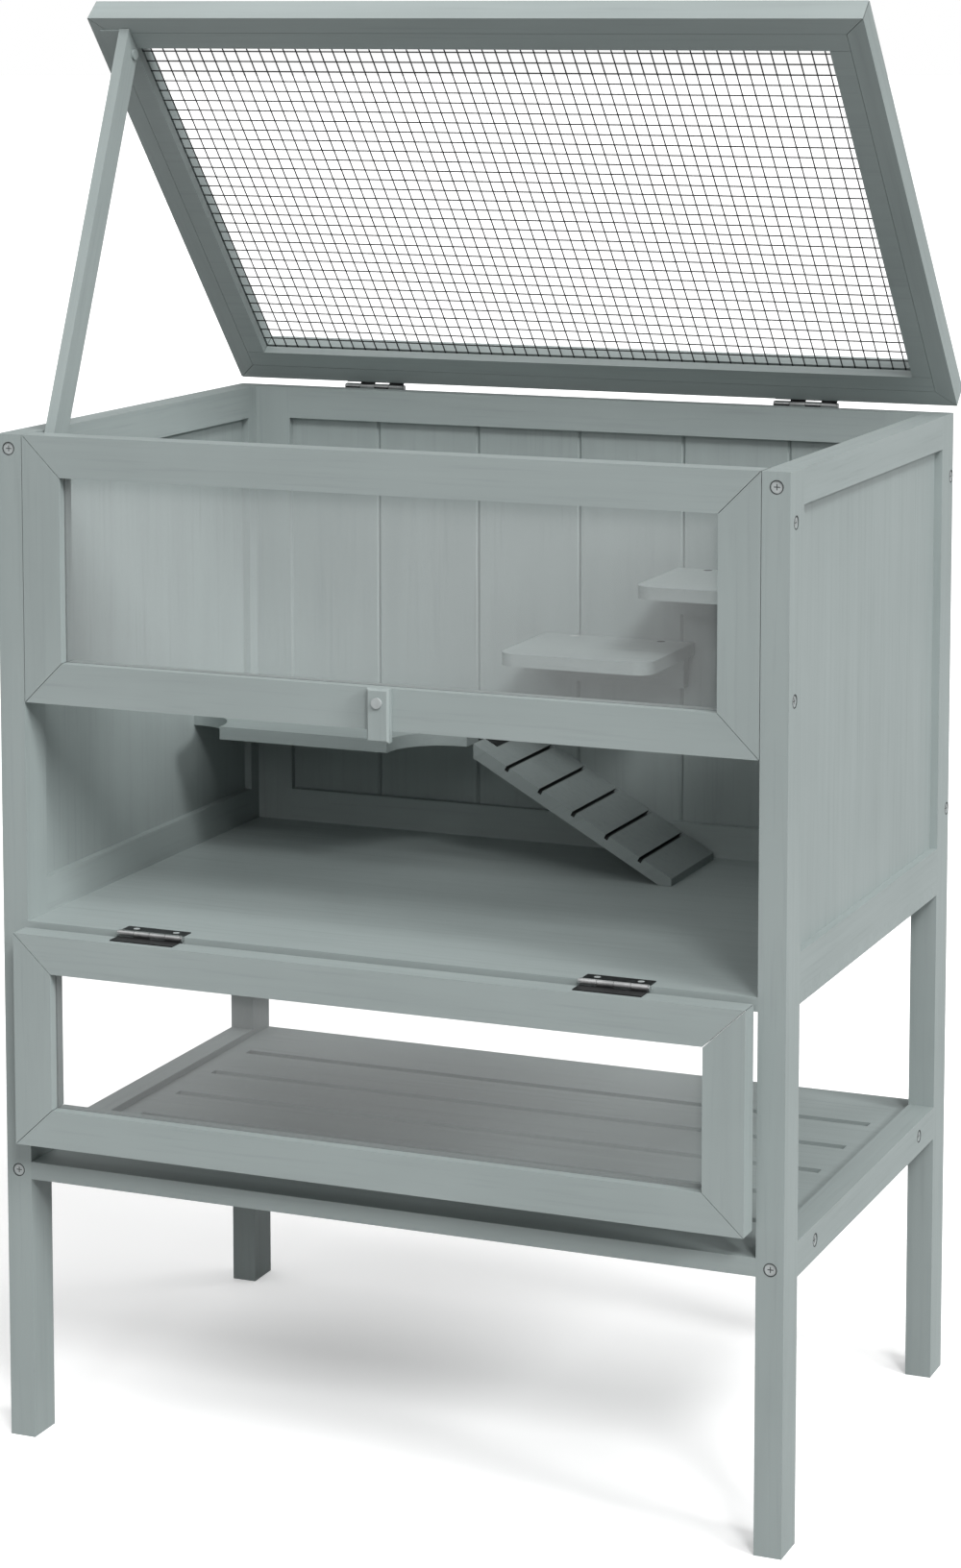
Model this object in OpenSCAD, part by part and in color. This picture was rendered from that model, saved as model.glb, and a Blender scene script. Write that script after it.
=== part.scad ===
// Raised wooden hutch for small pets: a box on four posts with a mesh lid, a drop-down
// front door, an upper level with a ramp, two jump steps and a slatted shelf below.
// Millimetres, +Z up. Origin on the ground, centred between the four feet; the front is -Y.
// Drawn with the lid propped open and the door hanging open.

/* [Cage] */
// Width over the posts
cage_w = 600; // [560:10:660]
// Depth over the posts
cage_d = 400; // [390:5:430]
// Height of the posts
cage_h = 748; // [740:1:756]
// Post width, seen from the front
post_w = 20; // [18:1:24]
// Post depth, seen from the side
post_d = 30; // [26:1:34]
// Height of the cage floor's top face
floor_z = 391; // [388:1:394]
// Thickness of the floor, the platform, the ramp and the steps
board_t = 10; // [8:0.5:12]

/* [Walls] */
// Height of the top rails
top_rail_h = 25; // [20:1:30]
// Height of the bottom rails
bottom_rail_h = 26; // [22:1:30]
// Thickness of the side panels
panel_t = 8; // [6:0.5:10]
// Thickness of the back wall's frame
back_t = 16; // [14:1:20]
// Width of the back wall's stiles
back_stile_w = 30; // [26:1:36]
// Thickness of the back boards
back_board_t = 8; // [6:0.5:9]
// How far the back boards reach into the frame
back_board_reach = 10; // [8:1:12]

/* [Front window] */
// Height of the window frame
window_h = 195; // [190:1:198]
// Width of the window and lid frame members
frame_w = 30; // [26:1:34]
// Thickness of the window and door frames
frame_t = 18; // [16:1:20]
// Thickness of the clear panes
pane_t = 2.5; // [2:0.5:4]
// Depth from a frame's outer face to its pane
pane_setback = 7.5; // [6:0.5:9]
// Gap between the window frame and each post
window_gap = 0.5; // [0.3:0.1:1]
// Half the width of a mitre joint's seam, along the rail
mitre_gap = 0.3; // [0.1:0.1:0.5]

/* [Door] */
// Height of the door
door_h = 157; // [150:1:157]
// Height of the door's top and bottom rails
door_rail_h = 28; // [24:1:32]
// Gap between the door and each post
door_side_gap = 1; // [1:0.5:2]
// How far the door is open
door_open = 180; // [0:15:180]

/* [Lid] */
// Width of the lid
lid_w = 604; // [600:1:610]
// Depth of the lid
lid_d = 389; // [385:1:392]
// Thickness of the lid frame
lid_t = 19; // [18:1:22]
// How far the lid is open
lid_open = 48.8; // [0:0.1:90]
// Width of the lid frame's outer part, beside the battens
lid_seam = 14.5; // [12:0.5:16]
// Thickness of the battens that clamp the mesh
batten_t = 7; // [6:0.5:8]
// Spacing of the mesh wires
mesh_pitch = 10; // [10:1:20]
// Diameter of a mesh wire
wire_d = 1; // [0.8:0.1:1.2]

/* [Prop stick] */
// Width of the prop stick
stick_w = 20; // [16:1:22]
// Thickness of the prop stick
stick_t = 8; // [6:0.5:9]
// Length of the prop stick below its pivot
stick_l = 323; // [318:1:326]
// Angle of the stick from the lid's underside
stick_lean = 63.9; // [55:0.1:70]

/* [Hinges] */
// Length of a hinge
hinge_l = 50; // [40:1:60]
// Width of a hinge leaf from its pin
leaf_w = 15; // [14:0.5:17]
// Thickness of a hinge leaf
leaf_t = 0.8; // [0.6:0.1:1]
// Outer radius of a hinge barrel
barrel_r = 2.5; // [2.3:0.1:2.7]
// Radius of a hinge pin
pin_r = 1.1; // [1:0.05:1.2]
// Distance of a hinge from the end of its door or lid
hinge_inset = 95; // [60:5:140]

/* [Upper level] */
// Height of the platform's underside
platform_z = 486; // [480:1:490]
// Length of the platform from the left wall
platform_w = 235.5; // [225:0.5:245]
// Slope of the ramp
ramp_slope = 29.5; // [28:0.5:31]
// Width of a jump step
step_w = 125; // [100:5:135]
// Depth of a jump step
step_d = 104; // [90:1:110]

/* [Shelf] */
// Height of the shelf board's underside
shelf_z = 197; // [150:1:250]
// Thickness of the shelf board
shelf_t = 13; // [10:1:16]
// Number of slots in the shelf board
slots = 5; // [3:1:5]
// Width of a slot
slot_w = 9; // [6:1:12]

/* [Hidden] */
$fn = 48;
painted = [0.60, 0.64, 0.63];
painted_light = [0.66, 0.70, 0.69];
clear = [0.90, 0.94, 0.95, 0.25];
black_steel = [0.12, 0.13, 0.13];
bright_steel = [0.72, 0.72, 0.72];

fit = 0.05;
gap = 0.3;
inside_x = cage_w / 2 - post_w;
floor_board_z = floor_z - board_t;
wall_z = floor_z + bottom_rail_h;
wall_top_z = cage_h - top_rail_h;
panel_x = cage_w / 2 - (post_w - panel_t) / 2 - panel_t;
back_y = cage_d - back_t;
back_board_y = back_y + 6;
back_boards = 6;
back_open_x = inside_x - back_stile_w;
back_board_w = 2 * (back_open_x + back_board_reach) / back_boards;
groove_clear = 0.2;

window_z = cage_h - window_h;
window_w = 2 * (inside_x - window_gap);
pane_reach = 5;
pane_y = pane_setback;

door_w = 2 * (inside_x - door_side_gap);
door_axis_y = -barrel_r - 0.25;
door_axis_z = floor_z - 0.8;
door_z = floor_z + 1.8;
door_leaf_h = door_z - door_axis_z;
door_hinge_x = door_w / 2 - hinge_inset + 19 - hinge_l / 2;

lid_axis_y = cage_d + barrel_r + 0.25;
lid_axis_z = cage_h + 1.1;
lid_leaf_h = lid_axis_y - cage_d;
lid_z = lid_axis_z + 2.6;
lid_back_y = cage_d;
lid_hinge_x = lid_w / 2 - hinge_inset - hinge_l / 2;
rabbet_k = batten_t + 2 * wire_d + 0.3;
lid_inner = lid_w / 2 - frame_w;
wire_embed = 12;

knuckles = 4;
knuckle_l = hinge_l / knuckles;
hinge_screw_r = 1.2;
hinge_head_r = 2.4;
hinge_screw_l = 9;
hinge_screw_y = 9.5;
hinge_screw_x = 16;

fixed_door_leaf_h = floor_z + leaf_t - door_axis_z;

stick_x = -inside_x + 1.7;
stick_pivot_s = 359.6;
stick_pivot_k = -7.5;
stick_back = 6;
bracket_t = 1.2;
stick_pin_r = 2;
peg_r = 2;
peg_in = 13;
peg_off = 1.5;

button_x = 3;
button_w = 17;
button_l = 38;
button_t = 6.5;
button_arm = 10;
button_z = window_z + 20.5;
button_pin_r = 2;
button_head_r = 3.8;

platform_x0 = -cage_w / 2 + 14;
platform_x1 = platform_x0 + platform_w;
platform_back_y = back_y - 0.5;
wing_y = 280;
tongue_front_y = 234.5;
tongue_x0 = platform_x0 + 45.5;
tongue_x1 = platform_x1 - 47.2;
cove_r = 42;
ramp_y0 = wing_y;
ramp_y1 = 377;
ramp_axis_x = platform_x1 + barrel_r + 0.4;
ramp_axis_z = platform_z + 4.4;
platform_leaf_h = platform_z + board_t + leaf_t - ramp_axis_z;
ramp_hinge_y = 328;
ramp_foot_x = ramp_axis_x + 165.3;
ramp_grooves = 5;
ramp_groove_pitch = 31.4;
ramp_groove_first = 36.4;
ramp_groove_y1 = 374;

step_lower_x = 34.5;
step_upper_x = 146;
step_lower_z = 550;
step_upper_z = 608.5;
step_corner_r = 14;
step_screw_x = 36.5;
cleat_d = 12;
cleat_h = 25;

shelf_rail_z = 190;
shelf_rail_h = 25;
slot_end = 17.5;
slot_pitch = 62;

screw_head_r = 4.2;
screw_head_h = 2.6;
screw_r = 1.8;
screw_l = 38;
screw_sink = 0.5;

// ---- placing ----

// Sub-parts are drawn with Y = 0 on the front faces of the posts.
module cage() {
    translate([0, -cage_d / 2, 0]) children();
}

// Carries the door from shut to open about its hinge pins.
module on_door() {
    cage() translate([0, door_axis_y, door_axis_z]) rotate([door_open, 0, 0])
        translate([0, -door_axis_y, -door_axis_z]) children();
}

// Carries the lid from shut to open about its hinge pins.
module on_lid() {
    cage() translate([0, lid_axis_y, lid_axis_z]) rotate([-lid_open, 0, 0])
        translate([0, -lid_axis_y, -lid_axis_z]) children();
}

module box(low, high) {
    translate(low) cube(high - low);
}

module along_x(r, x0, x1) {
    translate([x0, 0, 0]) rotate([0, 90, 0]) cylinder(r = r, h = x1 - x0);
}

module along_y(r, y0, y1) {
    translate([0, y0, 0]) rotate([-90, 0, 0]) cylinder(r = r, h = y1 - y0);
}

// ---- screws ----

// A screw that is driven along -Z from a face at the origin.
module screw(r, head_r, head_h, len, grow = 0) {
    translate([0, 0, -head_h - grow]) cylinder(r = head_r + grow, h = head_h + grow + (grow > 0 ? 2 : 0));
    translate([0, 0, -len - grow]) cylinder(r = r + grow, h = len - head_h);
}

module frame_screw(grow) {
    translate([0, 0, -screw_sink]) screw(screw_r, screw_head_r, screw_head_h, screw_l, grow);
}

module frame_screw_set(grow = 0) {
    for (s = [-1, 1], z = [wall_top_z + 14.6, shelf_rail_z + 13]) {
        translate([s * (cage_w / 2 - 9.6), 0, z]) rotate([90, 0, 0]) frame_screw(grow);
        translate([s * (cage_w / 2 - 9.6), cage_d, z]) rotate([-90, 0, 0]) frame_screw(grow);
    }
    for (s = [-1, 1]) {
        for (z = [cage_h - 35.2, cage_h - 155.7])
            translate([s * cage_w / 2, 13, z]) rotate([0, s * 90, 0]) frame_screw(grow);
        for (z = [cage_h - 48, floor_z + 52.6])
            translate([s * cage_w / 2, cage_d - 5, z]) rotate([0, s * 90, 0]) frame_screw(grow);
        for (y = [70, cage_d - 70])
            translate([s * cage_w / 2, y, shelf_z + shelf_t / 2]) rotate([0, s * 90, 0])
                frame_screw(grow);
    }
}

module hinge_screw_pair(grow = 0) {
    for (x = [-hinge_screw_x, hinge_screw_x])
        translate([x, hinge_screw_y, 0])
            screw(hinge_screw_r, hinge_head_r, leaf_t, hinge_screw_l, grow);
}

// ---- hinges ----

// A leaf over its barrel's even or odd knuckles. The pin lies on the X axis and the leaf
// lies at height h over it; part is 0 for the fixed leaf and 1 for the moving one.
module hinge_leaf(part, h) {
    difference() {
        union() {
            box([-hinge_l / 2, 0, h - leaf_t], [hinge_l / 2, leaf_w, h]);
            for (i = [0 : knuckles - 1])
                if (i % 2 == part)
                    along_x(barrel_r, i * knuckle_l - hinge_l / 2 + gap / 2,
                        (i + 1) * knuckle_l - hinge_l / 2 - gap / 2);
        }
        for (i = [0 : knuckles - 1])
            if (i % 2 != part)
                box([i * knuckle_l - hinge_l / 2 - gap / 2, -barrel_r, -barrel_r],
                    [(i + 1) * knuckle_l - hinge_l / 2 + gap / 2, barrel_r + gap, barrel_r + 1]);
        along_x(pin_r + fit, -hinge_l, hinge_l);
        translate([0, 0, h]) hinge_screw_pair(0.1);
    }
}

module hinge_pin() {
    along_x(pin_r, -hinge_l / 2 - 0.4, hinge_l / 2 + 0.4);
    for (s = [-1, 1])
        along_x(barrel_r - 0.4, s * (hinge_l / 2 + 0.6) - 0.4, s * (hinge_l / 2 + 0.6) + 0.4);
}

module at_door_hinges() {
    for (s = [-1, 1]) translate([s * door_hinge_x, door_axis_y, door_axis_z]) children();
}

// The lid's hinges lie on the outside of the back wall. The moving leaf points up the lid's
// back edge; the fixed one is a like leaf, turned half round to point down the wall.
module at_lid_hinges(turn = 0) {
    for (s = [-1, 1]) translate([s * lid_hinge_x, lid_axis_y, lid_axis_z]) rotate([90, turn, 0])
        children();
}

// The ramp's hinge leaf points down the ramp.
module at_ramp_hinge(slope) {
    translate([ramp_axis_x, ramp_hinge_y, ramp_axis_z]) rotate([0, slope, 0]) rotate([0, 0, -90])
        children();
}

module door_leaf_screws(grow = 0) {
    at_door_hinges() translate([0, 0, door_leaf_h - leaf_t]) mirror([0, 0, 1])
        hinge_screw_pair(grow);
}

module lid_leaf_screws(grow = 0) {
    at_lid_hinges() translate([0, 0, lid_leaf_h - leaf_t]) mirror([0, 0, 1])
        hinge_screw_pair(grow);
}

module floor_leaf_screws(grow = 0) {
    at_door_hinges() translate([0, 0, fixed_door_leaf_h]) hinge_screw_pair(grow);
}

module wall_leaf_screws(grow = 0) {
    at_lid_hinges(180) translate([0, 0, lid_leaf_h - leaf_t]) mirror([0, 0, 1])
        hinge_screw_pair(grow);
}

module ramp_leaf_screws(grow = 0) {
    at_ramp_hinge(ramp_slope) translate([0, 0, leaf_t]) hinge_screw_pair(grow);
}

module platform_leaf_screws(grow = 0) {
    at_ramp_hinge(0) translate([0, 0, platform_leaf_h]) mirror([0, 1, 0]) hinge_screw_pair(grow);
}

// ---- posts and walls ----

module post(side, back) {
    x0 = side > 0 ? inside_x : -cage_w / 2;
    y0 = back ? cage_d - post_d : 0;
    color(painted) cage() difference() {
        box([x0, y0, 0], [x0 + post_w, y0 + post_d, cage_h]);
        frame_screw_set(fit);
    }
}

module side_rail(side, z0, height) {
    x0 = side > 0 ? inside_x : -cage_w / 2;
    color(painted_light) cage() difference() {
        box([x0, post_d, z0], [x0 + post_w, cage_d - post_d, z0 + height]);
        frame_screw_set(fit);
    }
}

module side_panel(side) {
    x0 = side > 0 ? panel_x : -panel_x - panel_t;
    color(painted_light) difference() {
        cage() box([x0, post_d, wall_z], [x0 + panel_t, cage_d - post_d, wall_top_z]);
        stick_peg(fit);
    }
}

module back_board_groove() {
    box([-back_open_x - back_board_reach, back_board_y - groove_clear / 2, wall_z - back_board_reach],
        [back_open_x + back_board_reach, back_board_y + back_board_t + groove_clear / 2,
            wall_top_z + back_board_reach]);
}

module back_rail(z0, height) {
    color(painted) cage() difference() {
        box([-back_open_x, back_y, z0], [back_open_x, cage_d, z0 + height]);
        back_board_groove();
        wall_leaf_screws(fit);
    }
}

module back_stile(side) {
    x0 = side > 0 ? back_open_x : -inside_x;
    color(painted) cage() difference() {
        box([x0, back_y, floor_z], [x0 + back_stile_w, cage_d, cage_h]);
        back_board_groove();
        frame_screw_set(fit);
    }
}

// One tongue-and-groove board with chamfered front edges.
module back_board(i) {
    tongue = 2.4;
    tongue_l = 4;
    chamfer = 1.6;
    x0 = -back_open_x - back_board_reach + i * back_board_w;
    x1 = x0 + back_board_w - groove_clear;
    y0 = back_board_y;
    y1 = back_board_y + back_board_t;
    mid = (y0 + y1) / 2;
    right_tongue = i < back_boards - 1 ?
        [[x1, mid + tongue / 2], [x1 + tongue_l, mid + tongue / 2],
            [x1 + tongue_l, mid - tongue / 2], [x1, mid - tongue / 2]] : [];
    left_groove = i > 0 ?
        [[x0, mid - tongue / 2 - fit], [x0 + tongue_l + 0.3, mid - tongue / 2 - fit],
            [x0 + tongue_l + 0.3, mid + tongue / 2 + fit], [x0, mid + tongue / 2 + fit]] : [];
    color(painted) cage() translate([0, 0, wall_z - back_board_reach + 0.2])
        linear_extrude(wall_top_z - wall_z + 2 * back_board_reach - 0.4)
            polygon(concat([[x0, y1], [x1, y1]], right_tongue,
                [[x1, y0 + chamfer], [x1 - chamfer, y0], [x0 + chamfer, y0], [x0, y0 + chamfer]],
                left_groove));
}

module floor_board() {
    color(painted_light) cage() difference() {
        box([-cage_w / 2, 0, floor_board_z], [cage_w / 2, cage_d, floor_z]);
        for (s = [-1, 1], y = [-1, cage_d - post_d])
            box([s > 0 ? inside_x : -cage_w / 2 - 1, y, floor_board_z - 1],
                [s > 0 ? cage_w / 2 + 1 : -inside_x, y + post_d + 1, floor_z + 1]);
        floor_leaf_screws(fit);
    }
}

// ---- mitred frames ----

// A frame member along X with mitred ends: its outer edge on Y = 0, its inner edge at depth.
module member(len, depth, end_w, thick) {
    linear_extrude(thick)
        polygon([[mitre_gap - len / 2, 0], [len / 2 - mitre_gap, 0],
            [len / 2 - end_w - mitre_gap, depth], [end_w + mitre_gap - len / 2, depth]]);
}

// Stands a frame drawn flat up on the front plane, from height z0.
module upright(z0) {
    translate([0, frame_t, z0]) rotate([90, 0, 0]) children();
}

// Member i of an upright frame, counted from the bottom rail round to the left stile.
module frame_member(i, width, height, rail, stile) {
    flat = i % 2 == 0;
    turn = [[0, 0, 0], [width / 2, height / 2, 90], [0, height, 180], [-width / 2, height / 2, 270]][i];
    translate([turn[0], turn[1], 0]) rotate(turn[2])
        member(flat ? width : height, flat ? rail : stile, flat ? stile : rail, frame_t);
}

module pane_solid(width, height, rail, stile, y0, grow = 0) {
    reach = pane_reach + grow;
    box([-width / 2 + stile - reach, y0 - grow, rail - reach],
        [width / 2 - stile + reach, y0 + pane_t + grow, height - rail + reach]);
}

module window_member(i) {
    color(painted) cage() difference() {
        upright(window_z) frame_member(i, window_w, window_h, frame_w, frame_w);
        translate([0, 0, window_z])
            pane_solid(window_w, window_h, frame_w, frame_w, pane_y, fit);
        frame_screw_set(fit);
        if (i == 0) translate([button_x, 0, button_z]) along_y(button_pin_r + fit, -1, 14.2);
    }
}

module window_pane() {
    color(clear) cage() translate([0, 0, window_z])
        pane_solid(window_w, window_h, frame_w, frame_w, pane_y);
}

module door_member(i) {
    color(painted_light) on_door() difference() {
        upright(door_z) frame_member(i, door_w, door_h, door_rail_h, frame_w);
        translate([0, 0, door_z])
            pane_solid(door_w, door_h, door_rail_h, frame_w, pane_y, fit);
        if (i == 0) door_leaf_screws(fit);
    }
}

module door_pane() {
    color(clear) on_door() translate([0, 0, door_z])
        pane_solid(door_w, door_h, door_rail_h, frame_w, pane_y);
}

// The turn button that holds the shut door, on one screw in the window's bottom rail.
module turn_button() {
    bevel = 1.5;
    w = button_w / 2;
    y0 = button_arm - button_l;
    color(painted_light) cage() translate([button_x, -gap, button_z]) rotate([90, 0, 0])
        difference() {
            intersection() {
                translate([0, button_arm, 0]) rotate([90, 0, 0]) linear_extrude(button_l)
                    polygon([[-w, 0], [w, 0], [w, button_t - bevel], [w - bevel, button_t],
                        [bevel - w, button_t], [-w, button_t - bevel]]);
                translate([-w, 0, 0]) rotate([90, 0, 90]) linear_extrude(button_w)
                    polygon([[y0, 0], [button_arm, 0], [button_arm, button_t - bevel],
                        [button_arm - bevel, button_t], [y0 + bevel, button_t],
                        [y0, button_t - bevel]]);
            }
            translate([0, 0, -1]) cylinder(r = button_pin_r + fit, h = button_t + 2);
        }
}

module door_hinge_leaves() {
    color(black_steel) on_door() at_door_hinges() hinge_leaf(1, door_leaf_h);
}

module door_screws() {
    color(black_steel) on_door() door_leaf_screws();
}

// ---- lid ----

// Lid members, shut: underside at lid_z, back edge at lid_back_y.
module lid_member(i) {
    flat = i % 2 == 0;
    turn = [[0, lid_back_y, 180], [lid_w / 2, lid_back_y - lid_d / 2, 90],
        [0, lid_back_y - lid_d, 0], [-lid_w / 2, lid_back_y - lid_d / 2, 270]][i];
    len = flat ? lid_w : lid_d;
    color(painted) on_lid() difference() {
        translate([turn[0], turn[1], lid_z]) rotate(turn[2]) difference() {
            member(len, frame_w, frame_w, lid_t);
            box([-len / 2 + lid_seam, lid_seam, -1], [len / 2 - lid_seam, frame_w + 1, rabbet_k]);
        }
        if (i == 0) lid_leaf_screws(fit);
        if (i == 3) prop_bracket_screws(fit);
    }
}

module lid_battens() {
    out_x = lid_w / 2 - lid_seam - gap;
    in_x = lid_w / 2 - frame_w;
    out_s = lid_seam + gap;
    color(painted) on_lid() translate([0, lid_back_y, lid_z]) {
        for (s = [out_s, lid_d - frame_w])
            box([-out_x, -s - frame_w + out_s, 0], [out_x, -s, batten_t]);
        for (k = [-1, 1])
            box([k > 0 ? in_x : -out_x, -lid_d + frame_w + gap, 0],
                [k > 0 ? out_x : -in_x, -frame_w - gap, batten_t]);
    }
}

// Welded mesh: one layer of wires across, and one from back to front on top of it.
module lid_mesh() {
    wires_across = floor((lid_d - 2 * frame_w) / mesh_pitch);
    wires_deep = floor(2 * lid_inner / mesh_pitch);
    z0 = batten_t + wire_d / 2 + 0.1;
    z1 = z0 + wire_d + 0.04;
    mid = lid_d / 2;
    reach_x = lid_inner + wire_embed;
    reach_s = mid - frame_w + wire_embed;
    color(bright_steel) on_lid() translate([0, lid_back_y - mid, lid_z]) {
        for (i = [0 : wires_across - 1])
            translate([0, (i - (wires_across - 1) / 2) * mesh_pitch, z0])
                along_x(wire_d / 2, -reach_x, reach_x);
        for (i = [0 : wires_deep - 1])
            translate([(i - (wires_deep - 1) / 2) * mesh_pitch, 0, z1])
                along_y(wire_d / 2, -reach_s, reach_s);
    }
}

module lid_hinge_leaves() {
    color(black_steel) on_lid() at_lid_hinges() hinge_leaf(1, lid_leaf_h);
}

// The leaves screwed to the floor and to the back wall.
module hinge_fixed_leaves() {
    color(black_steel) cage() {
        at_door_hinges() hinge_leaf(0, fixed_door_leaf_h);
        at_lid_hinges(180) hinge_leaf(1, lid_leaf_h);
    }
}

module hinge_pins() {
    color(bright_steel) cage() {
        at_door_hinges() hinge_pin();
        at_lid_hinges() hinge_pin();
        at_ramp_hinge(0) hinge_pin();
    }
}

module lid_screws() {
    color(black_steel) on_lid() {
        lid_leaf_screws();
        prop_bracket_screws();
    }
}

// ---- prop stick, drawn on the shut lid ----

module at_prop_pivot() {
    translate([stick_x, lid_back_y - stick_pivot_s, lid_z + stick_pivot_k]) children();
}

module prop_bracket_screws(grow = 0) {
    for (y = [-13, 13])
        at_prop_pivot() translate([-12.5, y, -stick_pivot_k - bracket_t]) mirror([0, 0, 1])
            screw(hinge_screw_r, hinge_head_r, bracket_t, hinge_screw_l, grow);
}

// Steel angle: a flange on the lid's underside and a tab beside the stick.
module prop_bracket() {
    tab_r = 6;
    tab_x = -gap / 2 - bracket_t;
    color(painted_light) on_lid() difference() {
        at_prop_pivot() {
            box([-16.5, -18, -stick_pivot_k - bracket_t], [tab_x + bracket_t, 18, -stick_pivot_k]);
            translate([tab_x, 0, 0]) rotate([90, 0, 90]) linear_extrude(bracket_t) {
                circle(r = tab_r);
                polygon([[-tab_r, 0], [tab_r, 0], [tab_r, -stick_pivot_k - 0.01],
                    [-tab_r, -stick_pivot_k - 0.01]]);
            }
        }
        at_prop_pivot() along_x(stick_pin_r + fit, -3, 3);
        prop_bracket_screws(0.1);
    }
}

// Rivet through the bracket and the stick.
module prop_pivot() {
    head_r = 4;
    left = -gap / 2 - bracket_t;
    color(bright_steel) on_lid() at_prop_pivot() {
        along_x(stick_pin_r, left + 0.02, stick_t + gap);
        along_x(head_r, stick_t + gap, stick_t + gap + 1.5);
    }
}

// The peg in the left side panel that carries the stick's foot.
module stick_peg(grow = 0) {
    on_lid() at_prop_pivot() rotate([-stick_lean, 0, 0])
        translate([0, stick_l + gap + peg_r, -peg_off])
            along_x(peg_r + grow, -stick_x - inside_x - peg_in, -stick_x - inside_x + 10);
}

// A flat stick with a slanted top end that meets the lid's underside.
module prop_stick() {
    front = stick_back - stick_w;
    c = sin(stick_lean);
    s = cos(stick_lean);
    lift = -stick_pivot_k - gap;
    a_front = (s * front - lift) / c;
    a_back = (s * stick_back - lift) / c;
    trim = 1.5;
    color(painted_light) on_lid() at_prop_pivot() rotate([-stick_lean, 0, 0]) difference() {
        rotate([90, 0, 90]) linear_extrude(stick_t)
            polygon([[a_front, front], [stick_l - 3, front], [stick_l, front + 3],
                [stick_l, stick_back - 3], [stick_l - 3, stick_back],
                [a_back + trim * 1.6, stick_back], [a_back - trim * s, stick_back - trim * 1.6]]);
        along_x(stick_pin_r + fit, -1, stick_t + 1);
    }
}

// ---- upper level ----

// Two wings and a rounded tongue between them.
module platform() {
    coves = [[tongue_x0, -1], [tongue_x1, 1]];
    color(painted) cage() difference() {
        translate([0, 0, platform_z]) linear_extrude(board_t) difference() {
            polygon([[platform_x0, tongue_front_y], [platform_x1, tongue_front_y],
                [platform_x1, platform_back_y], [platform_x0, platform_back_y]]);
            for (c = coves) {
                x = c[0] + c[1] * cove_r;
                far = c[0] + c[1] * 2 * cove_r;
                translate([x, wing_y - cove_r]) circle(r = cove_r);
                polygon([[c[0], tongue_front_y - 1], [c[0], wing_y - cove_r], [x, wing_y - cove_r],
                    [x, wing_y], [far, wing_y], [far, tongue_front_y - 1]]);
            }
        }
        box([-cage_w / 2, cage_d - post_d - gap, platform_z - 1],
            [-inside_x + gap, cage_d, platform_z + board_t + 1]);
        platform_leaf_screws(fit);
    }
}

// The ramp's upper face runs through its hinge pin; its foot stands on the floor.
module ramp() {
    slope = tan(ramp_slope);
    thick = board_t / cos(ramp_slope);
    foot_z = floor_z + 0.2;
    x0 = barrel_r + 0.2;
    x1 = ramp_foot_x - ramp_axis_x;
    color(painted) cage() difference() {
        translate([ramp_axis_x, ramp_y1, ramp_axis_z]) rotate([90, 0, 0])
            linear_extrude(ramp_y1 - ramp_y0)
                polygon([[x0, -x0 * slope], [x0, -x0 * slope - thick],
                    [(ramp_axis_z - thick - foot_z) / slope, foot_z - ramp_axis_z],
                    [x1, foot_z - ramp_axis_z], [x1, -x1 * slope]]);
        translate([ramp_axis_x, 0, ramp_axis_z]) rotate([0, ramp_slope, 0])
            for (i = [0 : ramp_grooves - 1]) {
                x = ramp_groove_first + i * ramp_groove_pitch;
                box([x - 1.6, ramp_y0 - 1, -3.5], [x + 1.6, ramp_groove_y1, 1]);
            }
        ramp_leaf_screws(fit);
    }
}

module ramp_hinge_leaf() {
    color(black_steel) cage() at_ramp_hinge(ramp_slope) hinge_leaf(1, leaf_t);
}

module ramp_screws() {
    color(black_steel) cage() ramp_leaf_screws();
}

// Cranked leaf: from the platform's top face over its end to the barrel.
module platform_hinge_leaf() {
    back = -barrel_r - 0.4;
    color(black_steel) cage() difference() {
        at_ramp_hinge(0) difference() {
            union() {
                box([-hinge_l / 2, -leaf_w, platform_leaf_h - leaf_t],
                    [hinge_l / 2, back + leaf_t, platform_leaf_h]);
                box([-hinge_l / 2, back, -1.5], [hinge_l / 2, back + leaf_t, platform_leaf_h]);
                for (i = [0 : 2 : knuckles - 1])
                    along_x(barrel_r, i * knuckle_l - hinge_l / 2 + gap / 2,
                        (i + 1) * knuckle_l - hinge_l / 2 - gap / 2);
            }
            for (i = [1 : 2 : knuckles - 1])
                box([i * knuckle_l - hinge_l / 2 - gap / 2, back - 1, -barrel_r],
                    [(i + 1) * knuckle_l - hinge_l / 2 + gap / 2, back + 2, barrel_r + gap]);
            along_x(pin_r + fit, -hinge_l, hinge_l);
        }
        platform_leaf_screws(0.1);
    }
}

module step_screw_set(grow = 0) {
    for (at = [[step_lower_x, step_lower_z], [step_upper_x, step_upper_z]], s = [-1, 1])
        translate([at[0] + s * step_screw_x, back_board_y - cleat_d / 2, at[1] + board_t])
            screw(1.5, 3.4, 1.8, 26, grow);
}

// A jump step on the back wall, with rounded front corners.
module jump_step(x, z) {
    y0 = back_board_y - step_d;
    y1 = back_board_y - 0.2;
    color(painted) cage() difference() {
        union() {
            box([x - step_w / 2, y0 + step_corner_r, z], [x + step_w / 2, y1, z + board_t]);
            box([x - step_w / 2 + step_corner_r, y0, z], [x + step_w / 2 - step_corner_r, y1, z + board_t]);
            for (s = [-1, 1])
                translate([x + s * (step_w / 2 - step_corner_r), y0 + step_corner_r, z])
                    cylinder(r = step_corner_r, h = board_t);
        }
        step_screw_set(fit);
    }
}

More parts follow.
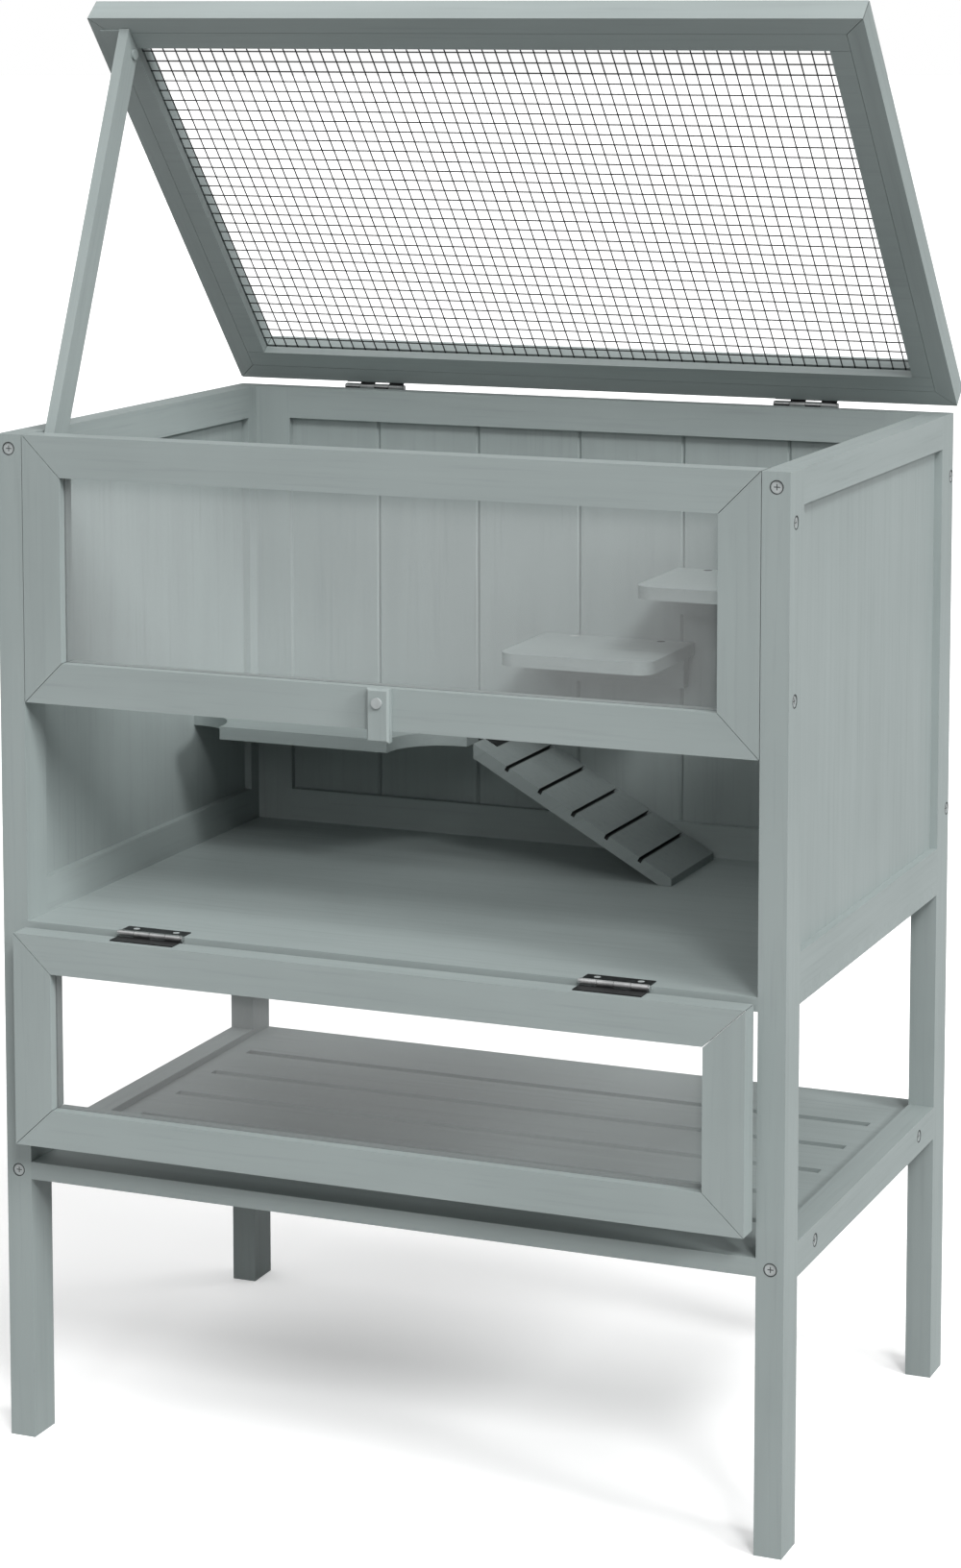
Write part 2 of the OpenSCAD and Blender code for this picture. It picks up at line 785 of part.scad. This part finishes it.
// Cleats on the walls under the jump steps and the platform.
module wall_cleats() {
    color(painted) cage() difference() {
        union() {
            for (at = [[step_lower_x, step_lower_z], [step_upper_x, step_upper_z]])
                box([at[0] - step_w / 2 + 5, back_board_y - cleat_d, at[1] - cleat_h],
                    [at[0] + step_w / 2 - 5, back_board_y - 0.2, at[1]]);
            box([-back_open_x + 6, back_board_y - cleat_d - 4, platform_z - 14],
                [platform_x1 - 20, back_board_y - 0.2, platform_z]);
            box([-panel_x, wing_y + 45, platform_z - 12], [-panel_x + 14, wing_y + 85, platform_z]);
        }
        step_screw_set(fit);
    }
}

// ---- shelf ----

module shelf_board() {
    x1 = inside_x - slot_end;
    color(painted) cage() difference() {
        box([-inside_x, 0, shelf_z], [inside_x, cage_d, shelf_z + shelf_t]);
        for (i = [0 : slots - 1]) {
            y = cage_d / 2 + (i - (slots - 1) / 2) * slot_pitch;
            box([-x1, y - slot_w / 2, shelf_z - 1], [x1, y + slot_w / 2, shelf_z + shelf_t + 1]);
        }
        frame_screw_set(fit);
    }
}

module frame_screws() {
    color(bright_steel) cage() frame_screw_set();
}

// Screws of the fixed hinge leaves, the jump steps and the turn button, and the stick's peg.
module fitting_screws() {
    color(bright_steel) stick_peg();
    color(bright_steel) cage() {
        floor_leaf_screws();
        wall_leaf_screws();
        platform_leaf_screws();
        step_screw_set();
        translate([button_x, 0, button_z]) {
            along_y(button_pin_r, -button_t - 1, 14);
            along_y(button_head_r, -button_t - gap - 2, -button_t - gap - 0.1);
        }
    }
}

post(-1, false);  // post_front_left
post(1, false);  // post_front_right
post(-1, true);  // post_back_left
post(1, true);  // post_back_right
side_rail(-1, wall_top_z, top_rail_h);  // side_top_rail_left
side_rail(1, wall_top_z, top_rail_h);  // side_top_rail_right
side_rail(-1, floor_z, bottom_rail_h);  // side_bottom_rail_left
side_rail(1, floor_z, bottom_rail_h);  // side_bottom_rail_right
side_panel(-1);  // side_panel_left
side_panel(1);  // side_panel_right
back_rail(wall_top_z, top_rail_h);  // back_top_rail
back_rail(floor_z, bottom_rail_h);  // back_bottom_rail
back_stile(-1);  // back_stile_left
back_stile(1);  // back_stile_right
back_board(0);  // back_board_1
back_board(1);  // back_board_2
back_board(2);  // back_board_3
back_board(3);  // back_board_4
back_board(4);  // back_board_5
back_board(5);  // back_board_6
floor_board();
window_member(0);  // window_rail_bottom
window_member(1);  // window_stile_right
window_member(2);  // window_rail_top
window_member(3);  // window_stile_left
window_pane();
turn_button();
door_member(0);  // door_rail_hinge
door_member(1);  // door_stile_right
door_member(2);  // door_rail_free
door_member(3);  // door_stile_left
door_pane();
door_hinge_leaves();
door_screws();
lid_member(0);  // lid_rail_back
lid_member(1);  // lid_rail_right
lid_member(2);  // lid_rail_front
lid_member(3);  // lid_rail_left
lid_battens();
lid_mesh();
lid_hinge_leaves();
lid_screws();
prop_stick();
prop_bracket();
prop_pivot();
platform();
ramp();
ramp_hinge_leaf();
ramp_screws();
platform_hinge_leaf();
hinge_fixed_leaves();
hinge_pins();
jump_step(step_lower_x, step_lower_z);  // jump_step_lower
jump_step(step_upper_x, step_upper_z);  // jump_step_upper
wall_cleats();
side_rail(-1, shelf_rail_z, shelf_rail_h);  // shelf_rail_left
side_rail(1, shelf_rail_z, shelf_rail_h);  // shelf_rail_right
shelf_board();
frame_screws();
fitting_screws();
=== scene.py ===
"""Looks of the raised small-pet hutch: paint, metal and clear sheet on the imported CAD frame.

Lengths are in metres. X runs along the front, Y to the back and Z up from the floor.
"""

import math

import bmesh
import bpy
from mathutils import Euler, Matrix, Vector


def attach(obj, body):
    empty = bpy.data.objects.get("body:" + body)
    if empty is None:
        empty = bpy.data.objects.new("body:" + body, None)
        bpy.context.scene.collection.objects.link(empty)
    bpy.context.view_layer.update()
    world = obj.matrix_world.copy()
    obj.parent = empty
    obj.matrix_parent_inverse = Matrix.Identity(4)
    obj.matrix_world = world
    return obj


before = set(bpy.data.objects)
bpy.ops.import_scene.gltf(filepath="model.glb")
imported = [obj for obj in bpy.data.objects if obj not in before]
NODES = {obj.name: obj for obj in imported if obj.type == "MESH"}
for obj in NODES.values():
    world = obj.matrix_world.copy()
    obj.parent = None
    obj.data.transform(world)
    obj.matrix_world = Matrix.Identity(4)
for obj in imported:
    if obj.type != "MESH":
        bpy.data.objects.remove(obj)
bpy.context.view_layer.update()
scene = bpy.context.scene


# ---- sizes and places of the CAD that the looks follow ----

CAGE_HALF_X = 0.3
CAGE_HALF_Y = 0.2
# How far the lid stands open, and how steep the ramp is.
LID_TILT = math.radians(48.8)
RAMP_SLOPE = math.radians(29.5)
# The turn about X that lays the prop stick's length along Y.
STICK_TURN = math.radians(112.7)

# The hinge pins' lines as (y, z), and a radius just over the barrels'.
DOOR_AXIS = (-0.20275, 0.3902)
LID_AXIS = (0.20275, 0.7491)
BARREL_REACH = 0.0026

# The jump steps' screws are the fittings in the cage's upper right part.
STEP_SCREWS_X_FROM = 0.02
STEP_SCREWS_Y_FROM = -0.15
STEP_SCREWS_Z_FROM = 0.54
STEP_SCREWS_Z_TO = 0.7

# The ramp's saw cuts: places along the slope from its hinge, and depths under its upper face.
RAMP_PIVOT = Vector((-0.0476, 0.0, 0.4904))
CUT_FIRST = 0.0364
CUT_PITCH = 0.0314
CUT_HALF = 0.0017
CUT_DEEPEST = -0.0037
CUT_SHALLOWEST = -0.0003
# A face whose normal has more than this along Y is on one of the ramp's long edges.
EDGE_FACING = 0.5

# The frame screws: in the posts' front and back faces, and as (y, z) in the side faces.
POST_SCREW_INSET = 0.0096
POST_SCREW_Z = (0.7376, 0.203)
SIDE_SCREWS = (
    (-0.187, 0.7128),
    (-0.187, 0.5923),
    (0.195, 0.700),
    (0.195, 0.4436),
    (-0.130, 0.2035),
    (0.130, 0.2035),
)


# ---- node graph helpers ----


def even(value):
    """The same value three times: a grey, or a scale that is alike along X, Y and Z."""
    return (value, value, value)


class Graph:
    """A material's node tree with short calls for the nodes that the looks need."""

    def __init__(self, name):
        self.material = bpy.data.materials.new(name)
        self.material.use_nodes = True
        self.tree = self.material.node_tree
        self.shader = self.tree.nodes["Principled BSDF"]

    def add(self, kind, **settings):
        """A new node of that kind, with these properties."""
        made = self.tree.nodes.new(kind)
        for key, value in settings.items():
            setattr(made, key, value)
        return made

    def wire(self, source, target):
        self.tree.links.new(source, target)

    def set(self, **values):
        """Values on the shader's inputs. An underscore stands for a space in an input's name."""
        for key, value in values.items():
            self.shader.inputs[key.replace("_", " ")].default_value = value

    def place(self, scale, turn=(0, 0, 0), offset=(0, 0, 0)):
        """Object coordinates, turned to lie along the piece and stretched by scale."""
        coords = self.add("ShaderNodeTexCoord")
        turned = self.add("ShaderNodeMapping")
        turned.inputs["Rotation"].default_value = turn
        self.wire(coords.outputs["Object"], turned.inputs["Vector"])
        stretched = self.add("ShaderNodeMapping")
        stretched.inputs["Scale"].default_value = scale
        stretched.inputs["Location"].default_value = offset
        self.wire(turned.outputs["Vector"], stretched.inputs["Vector"])
        return stretched.outputs["Vector"]

    def noise(self, vector, scale=1.0, detail=4.0, roughness=0.55, distortion=0.0):
        made = self.add("ShaderNodeTexNoise")
        made.inputs["Scale"].default_value = scale
        made.inputs["Detail"].default_value = detail
        made.inputs["Roughness"].default_value = roughness
        made.inputs["Distortion"].default_value = distortion
        self.wire(vector, made.inputs["Vector"])
        return made.outputs["Fac"]

    def ramp(self, factor, stops):
        """A colour that follows factor through (position, colour) stops."""
        made = self.add("ShaderNodeValToRGB")
        elements = made.color_ramp.elements
        while len(elements) < len(stops):
            elements.new(0.5)
        for element, (position, colour) in zip(elements, stops):
            element.position = position
            element.color = (*colour, 1.0)
        self.wire(factor, made.inputs["Fac"])
        return made.outputs["Color"]

    def span(self, factor, low, high):
        """factor, 0 to 1, spread over low to high."""
        made = self.add("ShaderNodeMapRange")
        made.inputs["To Min"].default_value = low
        made.inputs["To Max"].default_value = high
        self.wire(factor, made.inputs["Value"])
        return made.outputs["Result"]

    def math(self, operation, first, second):
        """The result of an operation on two values, each a number or another node's output."""
        made = self.add("ShaderNodeMath", operation=operation)
        for socket, value in zip(made.inputs, (first, second)):
            if isinstance(value, (int, float)):
                socket.default_value = value
            else:
                self.wire(value, socket)
        return made.outputs["Value"]

    def multiply(self, first, second):
        """One colour darkened by another."""
        made = self.add("ShaderNodeMix", data_type="RGBA", blend_type="MULTIPLY")
        made.inputs["Factor"].default_value = 1.0
        self.wire(first, made.inputs["A"])
        self.wire(second, made.inputs["B"])
        return made.outputs["Result"]

    def bump(self, height, distance, strength, below=None):
        """A relief of that depth in metres, over the relief below if there is one."""
        made = self.add("ShaderNodeBump")
        made.inputs["Strength"].default_value = strength
        made.inputs["Distance"].default_value = distance
        self.wire(height, made.inputs["Height"])
        if below is not None:
            self.wire(below, made.inputs["Normal"])
        return made.outputs["Normal"]


# ---- materials ----

GRAIN_X, GRAIN_Y, GRAIN_Z = range(3)

PAINT = (0.284, 0.326, 0.322)
PAINT_DARK = (0.272, 0.313, 0.309)
PAINT_LIGHT = (0.296, 0.338, 0.334)
PAINT_STOPS = ((0.3, PAINT_DARK), (0.52, PAINT), (0.75, PAINT_LIGHT))
STREAK_STOPS = ((0.35, even(0.965)), (0.6, even(1.015)))
PORE_STOPS = ((0.3, even(0.93)), (0.46, even(1.0)))

# Scales of the patterns in the paint, across and along the grain.
FIBRE_ACROSS = 260.0
FIBRE_ALONG = 9.0
FIGURE_ACROSS = 46.0
FIGURE_ALONG = 2.6
FIGURE_OFFSET = (3.1, 1.7, 5.3)
BLOTCH_SCALE = 7.0

PAINT_ROUGHNESS = (0.58, 0.40)
FIGURE_DEPTH = 0.0005
FIGURE_STRENGTH = 0.18
FIBRE_DEPTH = 0.0002
FIBRE_STRENGTH = 0.35

# The ramp's paint is darkened as painted shade, and its saw cuts are painted almost black inside as
# painted shadow.
RAMP_PAINTED_SHADE = 0.78
CUT_PAINTED_SHADOW = 0.07


def grain_scale(grain, across, along):
    """The scale of a pattern that is drawn out along the grain's axis."""
    scale = [across] * 3
    scale[grain] = along
    return scale


def painted_wood(name, grain, turn=(0, 0, 0), shade=1.0):
    """Satin paint over softwood, with fibres along the grain's axis once the piece is turned. A shade
    below 1 darkens the paint as painted shade.
    """
    g = Graph(name)
    fibre_place = g.place(grain_scale(grain, FIBRE_ACROSS, FIBRE_ALONG), turn)
    fibre = g.noise(fibre_place, detail=5.0, roughness=0.62)
    figure_place = g.place(grain_scale(grain, FIGURE_ACROSS, FIGURE_ALONG), turn, FIGURE_OFFSET)
    figure = g.noise(figure_place, detail=3.0, distortion=0.9)
    blotch = g.noise(g.place(even(BLOTCH_SCALE)), detail=3.0)
    stops = [(position, tuple(shade * c for c in paint)) for position, paint in PAINT_STOPS]
    tone = g.ramp(blotch, stops)
    streak = g.ramp(figure, STREAK_STOPS)
    pores = g.ramp(fibre, PORE_STOPS)
    tone = g.multiply(g.multiply(tone, streak), pores)
    g.wire(tone, g.shader.inputs["Base Color"])
    g.wire(g.span(fibre, *PAINT_ROUGHNESS), g.shader.inputs["Roughness"])
    swell = g.bump(figure, FIGURE_DEPTH, FIGURE_STRENGTH)
    relief = g.bump(fibre, FIBRE_DEPTH, FIBRE_STRENGTH, swell)
    g.wire(relief, g.shader.inputs["Normal"])
    return g.material


HAZE_SCALE = 5.0
HAZE = (0.035, 0.075)
GLANCE_BLEND = 0.35
GLANCE_VEIL = 0.55


def clear_sheet():
    """Thin acrylic: mostly see-through, more mirror-like at a shallow angle, faintly hazy."""
    g = Graph("clear_acrylic")
    g.set(Base_Color=(0.93, 0.95, 0.95, 1.0), Roughness=0.06, IOR=1.49)
    edge = g.add("ShaderNodeLayerWeight")
    edge.inputs["Blend"].default_value = GLANCE_BLEND
    haze = g.noise(g.place(even(HAZE_SCALE)), detail=2.0)
    base = g.span(haze, *HAZE)
    glance = g.math("MULTIPLY", edge.outputs["Fresnel"], GLANCE_VEIL)
    g.wire(g.math("ADD", base, glance), g.shader.inputs["Alpha"])
    g.material.surface_render_method = "BLENDED"
    return g.material


# Clouds in a metal's plating are this many times as wide as its handling marks.
CLOUD_WIDTH = 9
CLOUD_EDGES = (0.32, 0.62)
POLISHED = 0.1
WORN = 0.14
MARK_DEPTH = 0.0001


def metal(name, colour, dark, roughness, scale, metallic=1.0, bump=0.25):
    """Metal with fine handling marks and a slightly uneven plating."""
    g = Graph(name)
    g.set(Metallic=metallic)
    marks = g.noise(g.place(even(scale)), detail=6.0, roughness=0.7)
    cloud = g.noise(g.place(even(scale / CLOUD_WIDTH)), detail=2.0)
    tone = g.ramp(cloud, list(zip(CLOUD_EDGES, (dark, colour))))
    g.wire(tone, g.shader.inputs["Base Color"])
    g.wire(g.span(marks, roughness - POLISHED, roughness + WORN), g.shader.inputs["Roughness"])
    g.wire(g.bump(marks, MARK_DEPTH, bump), g.shader.inputs["Normal"])
    return g.material


WOOD_X = painted_wood("painted_wood_grain_x", GRAIN_X)
WOOD_Y = painted_wood("painted_wood_grain_y", GRAIN_Y)
WOOD_Z = painted_wood("painted_wood_grain_z", GRAIN_Z)
WOOD_LID = painted_wood("painted_wood_lid_sides", GRAIN_Y, (LID_TILT, 0, 0))
WOOD_STICK = painted_wood("painted_wood_stick", GRAIN_Y, (STICK_TURN, 0, 0))
# The ramp's paint is darkened as painted shade, and its saw cuts are painted near black as painted
# shadow.
WOOD_RAMP = painted_wood("painted_wood_ramp", GRAIN_X, (0, RAMP_SLOPE, 0), RAMP_PAINTED_SHADE)
SAW_CUT_SHADOW = painted_wood("saw_cut_shadow", GRAIN_X, (0, RAMP_SLOPE, 0), CUT_PAINTED_SHADOW)
ACRYLIC = clear_sheet()
BLACK = metal(
    "black_steel",
    colour=(0.020, 0.020, 0.021),
    dark=(0.012, 0.012, 0.013),
    roughness=0.34,
    scale=900.0,
    metallic=0.6,
    bump=0.15,
)
PAINTED_STEEL = metal(
    "painted_steel",
    colour=PAINT,
    dark=PAINT_DARK,
    roughness=0.42,
    scale=300.0,
    metallic=0.0,
    bump=0.1,
)
HEADS = metal(
    "dulled_screw_head",
    colour=(0.44, 0.47, 0.47),
    dark=(0.36, 0.39, 0.39),
    roughness=0.45,
    scale=900.0,
    metallic=0.15,
)
# A near-black colour painted where sunk screw heads and their recesses lie in shade: painted shade.
RECESS_SHADE = metal(
    "screw_recess",
    colour=(0.050, 0.056, 0.055),
    dark=(0.030, 0.034, 0.034),
    roughness=0.6,
    scale=900.0,
    metallic=0.2,
)
STEEL = metal(
    "zinc_steel",
    colour=(0.62, 0.63, 0.63),
    dark=(0.46, 0.47, 0.47),
    roughness=0.34,
    scale=700.0,
)
WIRE = metal(
    "galvanised_wire",
    colour=(0.035, 0.037, 0.037),
    dark=(0.018, 0.02, 0.02),
    roughness=0.45,
    scale=500.0,
    metallic=0.4,
)


# ---- looks of the CAD nodes ----

LOOKS = {
    WOOD_Z: """post_front_left post_front_right post_back_left post_back_right side_panel_left
        side_panel_right back_stile_left back_stile_right back_board_1 back_board_2 back_board_3
        back_board_4 back_board_5 back_board_6 window_stile_left window_stile_right
        door_stile_left door_stile_right turn_button""",
    WOOD_Y: """side_top_rail_left side_top_rail_right side_bottom_rail_left
        side_bottom_rail_right shelf_rail_left shelf_rail_right""",
    WOOD_X: """back_top_rail back_bottom_rail window_rail_top window_rail_bottom door_rail_hinge
        door_rail_free lid_rail_back lid_rail_front floor_board platform jump_step_lower
        jump_step_upper wall_cleats shelf_board lid_battens""",
    WOOD_LID: "lid_rail_left lid_rail_right",
    WOOD_STICK: "prop_stick",
    WOOD_RAMP: "ramp",
    ACRYLIC: "window_pane door_pane",
    BLACK: """door_hinge_leaves lid_hinge_leaves ramp_hinge_leaf platform_hinge_leaf
        hinge_fixed_leaves door_screws ramp_screws""",
    PAINTED_STEEL: "prop_bracket prop_pivot lid_screws",
    HEADS: "frame_screws fitting_screws",
    STEEL: "hinge_pins",
    WIRE: "lid_mesh",
}
WOODS = (WOOD_X, WOOD_Y, WOOD_Z, WOOD_LID, WOOD_STICK, WOOD_RAMP)


EDGE_WIDTH = 0.0008
EDGE_SEGMENTS = 2
EDGE_ANGLE = math.radians(35)
FLAT_ANGLE = math.radians(0.5)


def soften(piece):
    """Eases a piece's sharp edges, so that its seams and edges catch the light."""
    flat = piece.modifiers.new("join_flats", "DECIMATE")
    flat.decimate_type = "DISSOLVE"
    flat.angle_limit = FLAT_ANGLE
    ease = piece.modifiers.new("eased_edges", "BEVEL")
    ease.width = EDGE_WIDTH
    ease.segments = EDGE_SEGMENTS
    ease.limit_method = "ANGLE"
    ease.angle_limit = EDGE_ANGLE
    ease.use_clamp_overlap = True


def dress_pieces():
    """Gives each CAD node its look, and eases the edges of the wooden ones."""
    for look, names in LOOKS.items():
        for name in names.split():
            piece = NODES[name]
            piece.data.materials.clear()
            piece.data.materials.append(look)
            if look in WOODS:
                soften(piece)


def add_look(name, look, belongs):
    """Gives a node a second look, on the faces for which belongs(centre, normal) is true."""
    piece = NODES[name]
    piece.data.materials.append(look)
    for face in piece.data.polygons:
        if belongs(piece.matrix_world @ face.center, face.normal):
            face.material_index = 1


def on_barrel(centre, normal):
    """Hinge barrels are bright plated steel, and their leaves are black."""
    return any(
        math.hypot(centre.y - y, centre.z - z) < BARREL_REACH for y, z in (DOOR_AXIS, LID_AXIS)
    )


def on_step_screw(centre, normal):
    """The jump steps' screw heads take the near-black recess colour: painted shade of sunk heads."""
    return (
        centre.x > STEP_SCREWS_X_FROM
        and centre.y > STEP_SCREWS_Y_FROM
        and STEP_SCREWS_Z_FROM < centre.z < STEP_SCREWS_Z_TO
    )


def in_saw_cut(centre, normal):
    """The ramp's saw cuts are painted dark inside as painted shadow, but not on its two long edges.
    """
    spot = centre - RAMP_PIVOT
    along = Vector((math.cos(RAMP_SLOPE), 0.0, -math.sin(RAMP_SLOPE)))
    above = Vector((math.sin(RAMP_SLOPE), 0.0, math.cos(RAMP_SLOPE)))
    off = (spot.dot(along) - CUT_FIRST + CUT_PITCH / 2) % CUT_PITCH - CUT_PITCH / 2
    within = CUT_DEEPEST < spot.dot(above) < CUT_SHALLOWEST
    return abs(off) < CUT_HALF and within and abs(normal.y) < EDGE_FACING


dress_pieces()
for hinge_part in ("door_hinge_leaves", "lid_hinge_leaves", "hinge_fixed_leaves"):
    add_look(hinge_part, STEEL, on_barrel)
add_look("fitting_screws", RECESS_SHADE, on_step_screw)
add_look("ramp", SAW_CUT_SHADOW, in_saw_cut)


# ---- screw details: painted shadows at the frame screws ----

RING_IN = 0.00415
RING_OUT = 0.00485
RING_SIDES = 28
SLOT_LONG = 0.0021
SLOT_HALF = 0.0003
SLOT_SINK = 0.0005
HALF_THICK = 0.00012


def screw_places():
    """(place, outward direction) of each frame screw's head, on the wood's face."""
    places = []
    for side in (-1, 1):
        x = side * (CAGE_HALF_X - POST_SCREW_INSET)
        for z in POST_SCREW_Z:
            for end in (-1, 1):
                places.append((Vector((x, end * CAGE_HALF_Y, z)), Vector((0, end, 0))))
        for y, z in SIDE_SCREWS:
            places.append((Vector((side * CAGE_HALF_X, y, z)), Vector((side, 0, 0))))
    return places


def ring(mesh, turn):
    """A thin flat dark ring with square edges: painted shadow of the gap round a sunk head."""
    section = (
        (RING_IN, -HALF_THICK),
        (RING_IN, HALF_THICK),
        (RING_OUT, HALF_THICK),
        (RING_OUT, -HALF_THICK),
    )
    angles = [2 * math.pi * i / RING_SIDES for i in range(RING_SIDES)]
    loops = []
    for radius, height in section:
        corners = [(radius * math.cos(a), radius * math.sin(a), height) for a in angles]
        loops.append([mesh.verts.new(turn @ Vector(corner)) for corner in corners])
    for inner, outer in zip(loops, loops[1:] + loops[:1]):
        for i in range(RING_SIDES):
            k = (i + 1) % RING_SIDES
            mesh.faces.new((inner[i], inner[k], outer[k], outer[i]))


def cross(mesh, turn):
    """A thin flat dark cross: painted shade of the recess in a screw's head."""
    a, b = SLOT_LONG, SLOT_HALF
    arm = [(a, -b), (a, b), (b, b)]
    outline = arm + [(-y, x) for x, y in arm] + [(-x, -y) for x, y in arm] + [(y, -x) for x, y in arm]
    low = [mesh.verts.new(turn @ Vector((x, y, -SLOT_SINK - HALF_THICK))) for x, y in outline]
    high = [mesh.verts.new(turn @ Vector((x, y, -SLOT_SINK + HALF_THICK))) for x, y in outline]
    mesh.faces.new(high)
    mesh.faces.new(low[::-1])
    for i in range(len(outline)):
        k = (i + 1) % len(outline)
        mesh.faces.new((low[i], low[k], high[k], high[i]))


def screw_details(name, shape):
    """One piece that has the shape at every frame screw."""
    mesh = bmesh.new()
    for place, outward in screw_places():
        turn = outward.to_track_quat("Z", "Y").to_matrix().to_4x4()
        shape(mesh, Matrix.Translation(place) @ turn)
    bmesh.ops.recalc_face_normals(mesh, faces=mesh.faces)
    data = bpy.data.meshes.new(name)
    mesh.to_mesh(data)
    mesh.free()
    made = bpy.data.objects.new(name, data)
    scene.collection.objects.link(made)
    made.data.materials.append(RECESS_SHADE)
    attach(made, "cage")


screw_details("screw_gap_shadows", ring)
screw_details("screw_recess_shadows", cross)


# ---- floor ----

FLOOR_RADIUS = 60.0
FLOOR_SIDES = 96
FLOOR_ROUGHNESS = 0.7
FLOOR_STOPS = ((0.3, even(0.93)), (0.7, even(0.96)))
SPECK_SCALE = 3.0
FLOOR_BOUNCE = (0.34, 0.34, 0.34, 1.0)
FLOOR_LIFT = 0.24


def floor_paint():
    """White to the camera, with a lift that lightens shadows, and grey to all other rays."""
    g = Graph("studio_floor")
    g.set(Roughness=FLOOR_ROUGHNESS)
    speck = g.noise(g.place(even(SPECK_SCALE)), detail=3.0)
    seen = g.ramp(speck, FLOOR_STOPS)
    path = g.add("ShaderNodeLightPath")
    tone = g.add("ShaderNodeMix", data_type="RGBA")
    tone.inputs["A"].default_value = FLOOR_BOUNCE
    g.wire(path.outputs["Is Camera Ray"], tone.inputs["Factor"])
    g.wire(seen, tone.inputs["B"])
    g.wire(tone.outputs["Result"], g.shader.inputs["Base Color"])
    g.set(Emission_Color=(1.0, 1.0, 1.0, 1.0))
    lift = g.math("MULTIPLY", path.outputs["Is Camera Ray"], FLOOR_LIFT)
    g.wire(lift, g.shader.inputs["Emission Strength"])
    return g.material


def floor():
    bpy.ops.mesh.primitive_circle_add(
        vertices=FLOOR_SIDES, radius=FLOOR_RADIUS, fill_type="NGON"
    )
    made = bpy.context.object
    made.name = "studio_floor"
    made.data.materials.append(floor_paint())


# ---- light ----

# The sky's light starts at this height of a ray's direction and grows up to overhead.
SKY_FROM = 0.2
SKY_OVERHEAD = 1.22
SKY_BEHIND = 1.0

SUN_ANGLE = math.radians(13)
# Direction towards each sun, and its part of a white face's brightness.
SUNS = {
    "key_right": ((0.85, -0.25, 0.46), 0.53),
    "key_front": ((0.45, -0.62, 0.64), 0.44),
    "key_top": ((0.60, -0.35, 0.72), 0.15),
    "rim_back": ((0.50, 0.40, 0.76), 0.06),
    "fill_low": ((0.10, -0.93, 0.35), 0.13),
}


def sky():
    """White light that grows towards the zenith, and plain white behind the object."""
    world = bpy.data.worlds.new("studio")
    scene.world = world
    world.use_nodes = True
    tree = world.node_tree
    tree.nodes.clear()
    out = tree.nodes.new("ShaderNodeOutputWorld")
    mix = tree.nodes.new("ShaderNodeMixShader")
    path = tree.nodes.new("ShaderNodeLightPath")
    ray = tree.nodes.new("ShaderNodeTexCoord")
    parts = tree.nodes.new("ShaderNodeSeparateXYZ")
    rise = tree.nodes.new("ShaderNodeMapRange")
    rise.inputs["From Min"].default_value = SKY_FROM
    rise.inputs["To Max"].default_value = SKY_OVERHEAD
    tree.links.new(ray.outputs["Generated"], parts.inputs["Vector"])
    tree.links.new(parts.outputs["Z"], rise.inputs["Value"])
    light, backdrop = [tree.nodes.new("ShaderNodeBackground") for _ in range(2)]
    tree.links.new(rise.outputs["Result"], light.inputs["Strength"])
    backdrop.inputs["Strength"].default_value = SKY_BEHIND
    for place, glow in enumerate((light, backdrop), 1):
        glow.inputs["Color"].default_value = (1.0, 1.0, 1.0, 1.0)
        tree.links.new(glow.outputs["Background"], mix.inputs[place])
    tree.links.new(path.outputs["Is Camera Ray"], mix.inputs["Fac"])
    tree.links.new(mix.outputs["Shader"], out.inputs["Surface"])


def soft_sun(name, towards, share):
    """Even light from one direction."""
    data = bpy.data.lights.new(name, "SUN")
    data.energy = share * math.pi
    data.angle = SUN_ANGLE
    made = bpy.data.objects.new(name, data)
    scene.collection.objects.link(made)
    made.rotation_euler = (-Vector(towards)).to_track_quat("-Z", "Y").to_euler()


# ---- camera ----

# Where the photograph's camera stood, fitted to the posts' and walls' corners with a lens shift
# that also suits the views from other sides. The lens and the sensor, which lies along the
# picture's longer side, are in millimetres.
CAMERA_AT = (1.05248, -2.53444, 1.04943)
CAMERA_YAW = math.radians(22.3971)
CAMERA_PITCH = math.radians(6.4138)
CAMERA_CLIP = (0.05, 200.0)
LENS = 85.6712
LENS_SHIFT = (-0.010662, -0.224265)
SENSOR = 36.0


def camera():
    data = bpy.data.cameras.new("camera")
    data.sensor_width = SENSOR
    data.lens = LENS
    data.shift_x, data.shift_y = LENS_SHIFT
    data.clip_start, data.clip_end = CAMERA_CLIP
    made = bpy.data.objects.new("camera", data)
    scene.collection.objects.link(made)
    made.location = CAMERA_AT
    made.rotation_euler = Euler((math.pi / 2 - CAMERA_PITCH, 0, CAMERA_YAW), "XYZ")
    scene.camera = made


floor()
sky()
for sun, (towards, share) in SUNS.items():
    soft_sun(sun, towards, share)
camera()
scene.view_settings.view_transform = "Standard"
scene.view_settings.look = "None"
